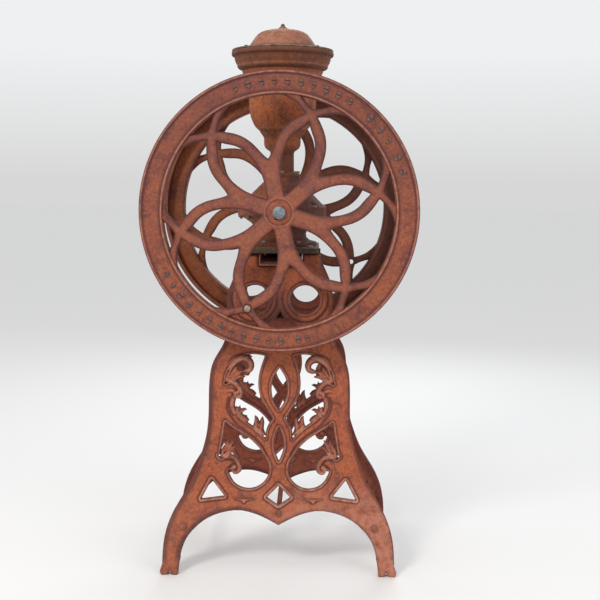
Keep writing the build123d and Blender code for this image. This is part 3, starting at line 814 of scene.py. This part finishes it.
# ------------------------------------------------------------------ wheels
PETAL_SIDE = [
    (0, 46), (17.6, 74.6), (29, 99), (35.5, 125), (38, 150), (36, 176), (26, 203), (14, 219), (0, 239),
]
PETAL = outline(PETAL_SIDE, flip(PETAL_SIDE))
GAP_LOW = [(0, 139), (11, 153), (26, 177), (45, 200), (73, 219), (114.5, 232.5)]
GAP_HIGH = [(114.5, 232.5), (107, 249), (96, 266), (80, 281), (60, 294), (40, 303)]
GAP = outline(GAP_LOW, GAP_HIGH, [(40, 303), (0, 305.5), (-40, 303)], flip(GAP_HIGH), flip(GAP_LOW))
RIM_GAP_SIDE = [(0, 274), (22, 285), (44, 302.3)]
RIM_GAP = outline(RIM_GAP_SIDE, [(44, 302.3), (0, 305.5), (-44, 302.3)], flip(RIM_GAP_SIDE))
ARM_GAP = turned(GAP, 30)


def one_sector(points):
    """Points carried into the thirty degrees between a crossing and the arm beside it."""
    r = np.hypot(points[:, 0], points[:, 1])
    a = np.degrees(np.arctan2(points[:, 0], points[:, 1])) % 60
    a = np.radians(np.minimum(a, 60 - a))
    return np.column_stack([r * np.sin(a), r * np.cos(a)])


def web_field(crossing):
    """Signed distance inside a wheel's web, with the crank's hole at one crossing."""
    angle = math.radians(60 * crossing)
    hole = np.array([CRANK_R * math.sin(angle), CRANK_R * math.cos(angle)])

    def field(points):
        unique, back = np.unique(np.round(one_sector(points), 4), axis=0, return_inverse=True)
        d = WEB_R - np.hypot(unique[:, 0], unique[:, 1])
        for polygon in (PETAL, RIM_GAP, ARM_GAP):
            d = np.minimum(d, -signed(unique, polygon))
        return np.minimum(d[back.ravel()], np.linalg.norm(points - hole, axis=1) - CRANK_HOLE_R)
    return field


def web_front(points, d):
    """Height of a web's rounded face, swelling towards the hub."""
    r = np.hypot(points[:, 0], points[:, 1])
    swell = 5.5 * unit(1 - r / 120.0) ** 1.3
    return -BAR_BACK + dome(d, 12.0, 6.5) + swell


def web_back(points, d):
    """Height of a web's back."""
    return -BAR_BACK - BAR_T - dome(d, 9.0, 4.0)


def web_masks(points, d, painted_shade):
    """Painted highlights along the middle of the bars, and painted shade along their edges, with the side
    shade passed in.
    """
    grime_and_shade = 0.9 * unit(1.15 - d / 5.0) + painted_shade
    return 0.15 * unit((d - 8) / 6), unit(grime_and_shade + 0.16)


RIM_SECTION = [
    (300, -8), (300, -2), (301.5, -0.2), (304.3, -0.2), (306, -3.8), (309, -5.2), (316, -4.0),
    (344, -4.0), (348.5, -5.0), (351.5, -4.6), (353.2, -1.0), (355, -0.3), (357.2, -1.0), (359.2, -3.8),
    (360, -8), (360, -46), (356.5, -50), (349, -50), (348, -16), (345, -13), (315, -13), (312, -16),
    (311, -50), (303, -50), (300, -46), (300, -27),
]
HUB_SECTION = [
    (SHAFT_R, 0.0), (27, 0.0), (30, -0.8), (31.5, -2.2), (33, -2.2), (35, -0.8), (38.5, -0.8), (HUB_R, -3.5),
    (HUB_R, -HUB_LENGTH), (SHAFT_R, -HUB_LENGTH),
]


def make_wheel(name, matrix, turn, node, material, crank_hole, flipped, painted_shade):
    """One flywheel; the last argument is how much painted shade lies on one side of it at rest, and towards
    which side, in degrees from the right.
    """
    shape = Shape()
    amount, bearing = painted_shade[0], math.radians(painted_shade[1] + turn)
    across = np.array([math.cos(bearing), math.sin(bearing)])

    def side(points):
        """Painted shade on one side of the wheel."""
        return amount * unit(points @ across / 200.0 - 0.1)

    size = np.array([WEB_R + 3, WEB_R + 3])
    shape.add(*relief(web_field(crank_hole), -size, size, web_front, web_back, CELL,
                      lambda points, d: web_masks(points, d, side(points))))
    verts, faces = lathe(rounded(RIM_SECTION[::-1], 0.9, steps=1), 180)
    depth, radius = verts[:, 2], np.hypot(verts[:, 0], verts[:, 1])
    # Pale inner and outer beads of the rim's face: rubbed paint with painted highlights.
    wear_and_highlight = 1.0 * bump(radius, 302.8, 2.2) * (depth > -3) + 0.8 * bump(radius, 355, 2.2) * (depth > -3)
    # Painted shade in the grooves beside the beads. Darker towards the back and on the outer edge, with
    # painted shade on one side.
    grime_and_shade = 0.95 * (bump(radius, 308, 2.6) + bump(radius, 350, 2.6)) * (depth > -6) + 0.5 * (depth < -20)
    grime_and_shade += unit((radius - 356.5) / 2) * 0.9 + side(verts[:, :2])
    shape.add(verts, faces, wear_and_highlight, unit(grime_and_shade))
    hub = rounded(HUB_SECTION[::-1], 0.8, steps=1)
    verts, faces = lathe(hub, 72)
    radius = np.hypot(verts[:, 0], verts[:, 1])
    shape.add(verts, faces, 0.35 * bump(radius, 37, 3), 0.9 * bump(radius, 32.2, 1.6))
    spin = matrix @ Matrix.Rotation(math.radians(-turn), 4, "Z")
    return shape.build(name, spin, "rotor", material, [node], flipped=flipped)


MARK_R = 331.0
MARK_ANGLES = [*np.linspace(-19.7, 32.6, 10), 43.8, 50.6, 56.8, 65.0, 71.5, 167.0, 171.0,
               *np.linspace(179.0, 241.0, 12)]


def rim_marks(name, matrix, material, flipped):
    """Raised lozenges with a cut across them, round the rim's face."""
    shape = Shape()
    for k, degrees in enumerate(MARK_ANGLES):
        a = math.radians(degrees)
        radial, along = np.array([math.sin(a), math.cos(a)]), np.array([math.cos(a), -math.sin(a)])
        tall, broad = (11.5, 8.0) if k % 3 else (10.0, 6.0)
        for side in (-1, 1):
            corners = [(0, 1.2 * side), (broad, 1.2 * side), (0, tall * side), (-broad, 1.2 * side)]
            middle = np.array([0, 0.42 * tall * side])
            rings = []
            for scale, level in ((1.0, -4.4), (0.93, -1.0), (0.62, -0.1)):
                flat = [middle + scale * (np.array(c) - middle) for c in corners]
                rings += [(*(MARK_R * radial + u * along + v * radial), level) for u, v in flat]
            faces = [[4 * r + i, 4 * r + (i + 1) % 4, 4 * r + 4 + (i + 1) % 4, 4 * r + 4 + i]
                     for r in range(2) for i in range(4)] + [[8, 9, 10, 11], [3, 2, 1, 0]]
            shape.add(rings, faces if side > 0 else [f[::-1] for f in faces], 0.3, 0.2)
    return shape.build(name, matrix, "rotor", material, shade=30.0, flipped=flipped)


# The front wheel is painted darker at its top and the rear wheel on its right, as painted shade.
make_wheel("front_wheel_casting", WHEEL_FRONT, FRONT_TURN, "front_wheel", WHEEL_IRON, 3, False, (0.32, 90.0))
make_wheel("rear_wheel_casting", WHEEL_REAR, REAR_TURN, "rear_wheel", REAR_WHEEL_IRON, 2, True, (0.80, 10.0))
rim_marks("front_rim_marks", WHEEL_FRONT, MARK_IRON, False)
rim_marks("rear_rim_marks", WHEEL_REAR, MARK_IRON, True)


# ------------------------------------------------------------------ hopper, lid and the ring between them
HOPPER_OUTSIDE = [
    (25, 1062), (49, 1062), (50, 1063.5), (50, 1071), (48, 1073), (36, 1073.5), (32.8, 1077),
    (32.5, 1090), (32.2, 1128), (34.5, 1134), (41, 1138), (46.5, 1142.5), (49.8, 1149), (51, 1158),
    (50.5, 1166), (52.5, 1174), (57.5, 1180.5), (61, 1185), (62.5, 1189), (66.5, 1192.5), (73, 1198),
    (78, 1205.5), (82, 1214), (87, 1226), (90.3, 1240), (92, 1258), (92.6, 1276), (93.5, 1296),
    (97.5, 1316), (103.5, 1334), (109, 1345), (111.5, 1350), (110.5, 1353), (113.5, 1355.5),
    (120, 1357), (123.5, 1360), (125, 1364), (124.5, 1367), (128.5, 1373), (131.5, 1381), (132.5, 1388),
    (134.5, 1391.2), (138.6, 1391.8), (140, 1394.5), (140, 1400), (138.6, 1403), (136, 1404),
]
HOPPER_INSIDE = [
    (128, 1404), (124, 1385), (114, 1366), (101, 1352), (90, 1325), (85, 1300), (83.5, 1276), (82.5, 1254),
    (80, 1236), (74, 1218), (65, 1203), (54, 1190), (44, 1177), (37, 1163), (25, 1150),
]
WALL_Z = (1140, 1163, 1177, 1190, 1203, 1218, 1236, 1254, 1276, 1300, 1325, 1352, 1366, 1385, 1404)
WALL_MIDDLE = (33, 43, 49, 59, 70, 79, 85, 87, 88, 89, 95, 106, 119, 128, 132)
SCALLOPS = 14


def outer_wall(radius, z):
    """Whether a point lies on the outside of the hopper's wall."""
    return radius > np.interp(z, WALL_Z, WALL_MIDDLE)


def scallops(radius, z, angle):
    """Leaf tips round the foot of the bowl."""
    wave = np.abs(np.sin(0.5 * SCALLOPS * angle)) ** 0.6
    low = np.exp(-((z - 1191) / 8.0) ** 2)
    high = np.exp(-((z - 1214) / 16.0) ** 2)
    return outer_wall(radius, z) * (4.2 * low * (wave - 0.85) + 1.3 * high * (wave - 0.6))


def denser(profile, step):
    """A profile with points added so that none are further apart than the step."""
    out = []
    p = np.asarray(profile, float)
    for here, after in zip(p, np.roll(p, -1, axis=0)):
        n = max(1, int(np.linalg.norm(after - here) / step))
        out += [here + (after - here) * k / n for k in range(n)]
    return np.array(out)


def turned_piece(name, profile, body, material, nodes, n=96, height=None, wear_and_highlight=None, grime_and_shade=None,
                 matrix=IDENTITY, extra=()):
    """A round piece about its own axis, with masks given as functions of radius, height and angle."""
    verts, faces = lathe(profile, n, height)
    radius = np.hypot(verts[:, 0], verts[:, 1])
    angle = np.arctan2(verts[:, 1], verts[:, 0])
    shape = Shape()
    shape.add(verts, faces, wear_and_highlight(radius, verts[:, 2], angle) if wear_and_highlight else 0.0,
              grime_and_shade(radius, verts[:, 2], angle) if grime_and_shade else 0.0)
    for more in extra:
        shape.add(*more)
    return shape.build(name, matrix, body, material, nodes)


def hopper_grime(radius, z, angle):
    """Dirt in the hopper's seams, on its rim and neck, and inside it."""
    tips = np.abs(np.sin(0.5 * SCALLOPS * angle)) ** 0.6
    seams = bump(z, 1190 - 6 * (1 - tips), 3.5) + bump(z, 1353, 3.0)
    seams = seams + bump(z, 1390, 3.0) + 0.8 * bump(z, 1134, 5.0)
    bands = 0.72 * (z > 1354) + 0.35 * (z > 1391) + 0.85 * (z < 1132)
    grime_and_shade = 0.9 * seams + bands + 0.35 * bump(z, 1176, 8.0)
    return unit(np.where((z > 1160) & ~outer_wall(radius, z), 0.75, grime_and_shade))


def hopper_wear(radius, z, angle):
    """Where the hopper's edges are rubbed."""
    return 0.35 * bump(z, 1197, 3.0) + 0.20 * bump(z, 1365, 3.0) + 0.15 * bump(z, 1402, 2.0) * (radius > 137)


turned_piece("hopper_casting", denser(HOPPER_OUTSIDE + HOPPER_INSIDE, 4.0), "stand", HOPPER_IRON,
             ["hopper"], 112, scallops, hopper_wear, hopper_grime)

LID_PROFILE = [
    (96.8, 1408.6), (97, 1411.4), (95.5, 1412.6), (93, 1415.5), (89, 1423), (82, 1433), (76, 1441.5),
    (69.5, 1449.5), (62, 1454.8), (54.5, 1458), (44, 1460.6), (33, 1462.5), (24, 1463.6), (17, 1465.5),
    (12, 1468), (9, 1470.4), (7, 1472.6), (4.0, 1473), (4.0, 1469), (16, 1461.5), (32, 1458.5),
    (52.5, 1454), (66, 1446.5), (78, 1431), (84.5, 1421), (88, 1411), (89, 1408.6),
]


def soft_block(low, high, edge=0.8):
    """A box with its edges cut back."""
    (x0, y0, z0), (x1, y1, z1) = low, high
    verts, faces = [], []
    rings = [(z0, edge), (z0 + edge, 0.0), (z1 - edge, 0.0), (z1, edge)]
    for z, cut in rings:
        a, b, c, d = x0 + cut, x1 - cut, y0 + cut, y1 - cut
        k = edge if cut == 0.0 else edge * 0.6
        verts += [(a + k, c, z), (b - k, c, z), (b, c + k, z), (b, d - k, z), (b - k, d, z), (a + k, d, z),
                  (a, d - k, z), (a, c + k, z)]
    for r in range(3):
        for i in range(8):
            j = (i + 1) % 8
            faces.append([8 * r + i, 8 * r + j, 8 * r + 8 + j, 8 * r + 8 + i])
    faces += [list(range(8))[::-1], list(range(24, 32))]
    return np.array(verts), faces


def bar_y(x, z, radius, y0, y1, edge=0.5, sides=24):
    """A round bar along Y with cut edges."""
    ends = [(y0, radius - edge), (y0 + edge, radius), (y1 - edge, radius), (y1, radius - edge)]
    verts, faces = [], []
    for y, r in ends:
        a = np.linspace(0, 2 * math.pi, sides, endpoint=False)
        verts += [(x + r * math.sin(t), y, z + r * math.cos(t)) for t in a]
    for k in range(3):
        for i in range(sides):
            j = (i + 1) % sides
            faces.append([sides * k + i, sides * k + j, sides * k + sides + j, sides * k + sides + i][::-1])
    faces += [list(range(sides)), [3 * sides + i for i in reversed(range(sides))]]
    return np.array(verts), faces


HINGE_X, HINGE_Z, BARREL_R = 104.0, 1413.0, 4.4
EARS = ((-17, -10), (10, 17))
# The lid's right-hand half is darkened as painted shade.
turned_piece("lid_casting", denser(LID_PROFILE, 3.0), "lid", LID_IRON, ["lid"], 96,
             wear_and_highlight=lambda r, z, a: 0.4 * bump(z, 1458, 5.0) + 0.5 * bump(z, 1411.5, 1.5),
             grime_and_shade=lambda r, z, a: unit(0.9 * bump(z, 1415, 2.2) + 0.7 * bump(z, 1467.5, 3.5)
                                           + 0.45 * unit(np.cos(a))),
             extra=[(*soft_block((92, -9, 1408.7), (104, 9, 1412.3)), 0.2, 0.4),
                    (*bar_y(HINGE_X, HINGE_Z, BARREL_R, -9.4, 9.4), 0.3, 0.4)])
LID_KNOB = [(0.6, 1467), (3.9, 1467), (3.9, 1473), (5.6, 1473.4), (5.5, 1476), (3.6, 1478.8), (0.6, 1480)]
turned_piece("lid_knob", rounded(LID_KNOB, 0.8), "lid", COLLAR_IRON, ["lid_finial"], 28)

ring_extra = [(*soft_block((99.8, y0, 1405), (108.2, y1, 1413)), 0.2, 0.4) for y0, y1 in EARS]
ring_extra += [(*bar_y(HINGE_X, HINGE_Z, BARREL_R, y0, y1), 0.3, 0.4) for y0, y1 in EARS]
turned_piece("cover_ring_plate", rounded([(86, 1404), (139, 1404), (139, 1408), (86, 1408)], 1.4), "stand",
             COLLAR_IRON, ["cover_ring"], 112,
             wear_and_highlight=lambda r, z, a: 0.7 * (r > 137.5), grime_and_shade=lambda r, z, a: 0.3 + 0.0 * r, extra=ring_extra)


WELD = 2e-5
SHARP_DEG = 34.0
SHADE_SPAN = 0.10


def softened(name, node, width, material, body="stand", painted_shade=(0.0, 0.0)):
    """A carried-over solid with its sharp edges rounded off; the last argument is the amount of painted shade
    at its left and at its right.
    """
    source = frame["nodes"][node]
    bm = bmesh.new()
    bm.from_mesh(source.data)
    bm.transform(source.matrix_world)
    bmesh.ops.remove_doubles(bm, verts=bm.verts, dist=WELD)
    bmesh.ops.dissolve_limit(bm, angle_limit=math.radians(1.0), verts=bm.verts, edges=bm.edges)
    sharp = [e for e in bm.edges
             if len(e.link_faces) == 2 and e.calc_face_angle(0.0) > math.radians(SHARP_DEG)]
    bmesh.ops.bevel(bm, geom=sharp, offset=width * METRE, segments=2, profile=0.5, affect="EDGES",
                    clamp_overlap=True)
    mesh = bpy.data.meshes.new(name)
    bm.to_mesh(mesh)
    bm.free()
    obj = added(name, mesh)
    places = np.empty(3 * len(mesh.vertices))
    mesh.vertices.foreach_get("co", places)
    # Painted shade, going from the first amount at the left of the piece to the second at its right.
    shade = unit(painted_shade[0] + (painted_shade[1] - painted_shade[0]) * unit(places[::3] / SHADE_SPAN + 0.5))
    mesh.attributes.new("grime_and_shade", "FLOAT", "POINT").data.foreach_set("value", shade)
    mesh.materials.clear()
    mesh.materials.append(material)
    mesh.shade_smooth()
    mesh.set_sharp_from_angle(angle=math.radians(38))
    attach(obj, body)
    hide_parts(node)
    return obj


softened("table_casting", "table_plate", 1.6, TABLE_IRON)
softened("chute_sheet", "chute", 0.5, BRIGHTENED_SHEET_IRON)
# Both casings are darkened towards the right, and the lower one all over as well, as painted shade.
softened("lower_casing_casting", "lower_casing", 1.5, CASING_IRON, painted_shade=(0.45, 0.95))
softened("upper_casing_casting", "upper_casing", 1.5, CASING_IRON, painted_shade=(-0.1, 1.4))
for fastener, finish in (("frame_bolts", PALE_BOLT), ("frame_nuts", FASTENER), ("foot_bolts", PALE_BOLT),
                         ("foot_nuts", FASTENER), ("casing_bolts", FASTENER), ("casing_nuts", FASTENER),
                         ("neck_screws", FASTENER), ("cover_screws", COLLAR_IRON)):
    softened(fastener + "_forged", fastener, 0.6, finish)
softened("shaft_bar", "shaft", 1.2, AXLE_STEEL, "rotor")
for collar in ("front_collar", "rear_collar"):
    softened(collar + "_ring", collar, 0.8, AXLE_STEEL, "rotor")


# ------------------------------------------------------------------ cap nuts and the crank's stud
def cap_nut(radius, bore):
    """Section of a domed cap nut; its flat side is at height 0."""
    return rounded([(bore, 0.1), (radius, 0.1), (radius, 4.0), (radius * 0.86, 7.6), (radius * 0.5, 10.2),
                    (0.4, 11.0), (0.4, 8.0), (bore, 6.5)], 0.8)


caps = Shape()
for rod_x, rod_w, cap_r in ((-LEG_ROD[0], LEG_ROD[1], LEG_CAP_R), (LEG_ROD[0], LEG_ROD[1], LEG_CAP_R),
                            (0, CENTRE_ROD_W, CENTRE_CAP_R)):
    cap_points, cap_faces = lathe(cap_nut(cap_r, CAP_BORE_R), 32)
    front_points = place(cap_points + (rod_x, rod_w, 0), STAND_FRONT) / METRE
    caps.add(front_points, cap_faces, 0.25, 0.5)
    caps.add(front_points * (1, -1, 1), [f[::-1] for f in cap_faces], 0.25, 0.5)
caps.build("tie_rod_caps", IDENTITY, "stand", FRAME_IRON, ["tie_rod_nuts"])
softened("tie_rod_bars", "tie_rods", 0.8, SHADED_REAR_IRON)

stud_angle = math.radians(FRONT_TURN + 180)
STUD = WHEEL_FRONT @ Matrix.Translation((CRANK_R * METRE * math.sin(stud_angle),
                                         CRANK_R * METRE * math.cos(stud_angle), 0))
turned_piece("crank_bolt", rounded([(0.4, 2.4), (4.5, 2.2), (8.0, 0.4), (9.4, -2.5), (9.4, -6.0), (7.0, -6.0),
                                    (7.0, -30.5), (0.4, -30.5)], 0.6), "rotor", PALE_BOLT,
             ["crank_stud"], 32, matrix=STUD,
             extra=[(*lathe([(7.0, -31), (12.0, -31), (12.0, -24.2), (7.0, -24.2)], 6), 0.3, 0.3)])

# ------------------------------------------------------------------ finishes on the carried-over solids
FINISH = {
    "frame_iron": FRAME_IRON, "wheel_iron": WHEEL_IRON, "casing_iron": CASING_IRON,
    "hopper_iron": HOPPER_IRON, "table_iron": TABLE_IRON, "fastener_steel": FASTENER,
    "axle_steel": AXLE_STEEL, "bush_brass": BRASS, "burr_iron": BURR_IRON, "sheet_iron": SHADED_REAR_IRON,
}
SLOT_OF = {entry["node"]: entry["material_slot"] for entry in frame["record"]["subparts"]}
for node_name, node_object in frame["nodes"].items():
    node_object.data.materials.clear()
    node_object.data.materials.append(FINISH[SLOT_OF[node_name]])

# ------------------------------------------------------------------ floor, lights and camera
FLOOR_HALF = 40.0
floor_mesh = bpy.data.meshes.new("floor")
floor_mesh.from_pydata([(FLOOR_HALF * x, FLOOR_HALF * y, 0)
                        for x, y in ((-1, -1), (1, -1), (1, 1), (-1, 1))], [], [(0, 1, 2, 3)])
floor = added("floor", floor_mesh)
pale = Nodes("pale floor")
pale.shader.inputs["Base Color"].default_value = (0.75, 0.745, 0.74, 1)
pale.shader.inputs["Roughness"].default_value = 0.75
floor.data.materials.append(pale.material)


def area_light(name, place_m, target_m, size, power, colour):
    """A large soft lamp."""
    data = bpy.data.lights.new(name, "AREA")
    data.shape = "DISK"
    data.size = size
    data.energy = power
    data.color = colour
    lamp = added(name, data)
    lamp.location = place_m
    lamp.rotation_euler = (Vector(target_m) - Vector(place_m)).to_track_quat("-Z", "Y").to_euler()


area_light("key", (-1.7, -2.9, 3.0), (0, 0, 0.8), 1.0, 78, (1.0, 0.96, 0.91))
area_light("fill", (2.4, -2.6, 1.6), (0, 0, 0.8), 2.0, 22, (1.0, 0.98, 0.96))
area_light("back", (0.5, 2.6, 2.4), (0, 0, 0.9), 2.0, 30, (0.95, 0.97, 1.0))
world = bpy.data.worlds.new("studio")
world.use_nodes = True
sky = world.node_tree
sky_place = sky.nodes.new("ShaderNodeTexCoord")
sky_split = sky.nodes.new("ShaderNodeSeparateXYZ")
sky_ramp = sky.nodes.new("ShaderNodeValToRGB")
sky.links.new(sky_place.outputs["Generated"], sky_split.inputs["Vector"])
sky.links.new(sky_split.outputs["Z"], sky_ramp.inputs["Fac"])
sky.links.new(sky_ramp.outputs["Color"], sky.nodes["Background"].inputs["Color"])
for stop, (level, colour) in zip(sky_ramp.color_ramp.elements,
                                 ((0.0, (0.68, 0.68, 0.68, 1)), (0.12, (0.86, 0.87, 0.88, 1)))):
    stop.position, stop.color = level, colour
sky.nodes["Background"].inputs["Strength"].default_value = 1.0
bpy.context.scene.world = world
bpy.context.scene.view_settings.view_transform = "Standard"

camera_data = bpy.data.cameras.new("camera")
camera_data.lens, camera_data.sensor_width = 61.08, 36.0
camera = added("camera", camera_data)
PITCH, YAW, ROLL = math.radians(6.631), math.radians(0.713), math.radians(0.376)
camera.location = (0.0873, -2.8544, 1.051)
camera.matrix_world = (Matrix.Translation(camera.location) @ Matrix.Rotation(YAW, 4, "Z")
                       @ Matrix.Rotation(math.pi / 2 - PITCH, 4, "X") @ Matrix.Rotation(ROLL, 4, "Z"))
bpy.context.scene.camera = camera

bpy.context.view_layer.update()
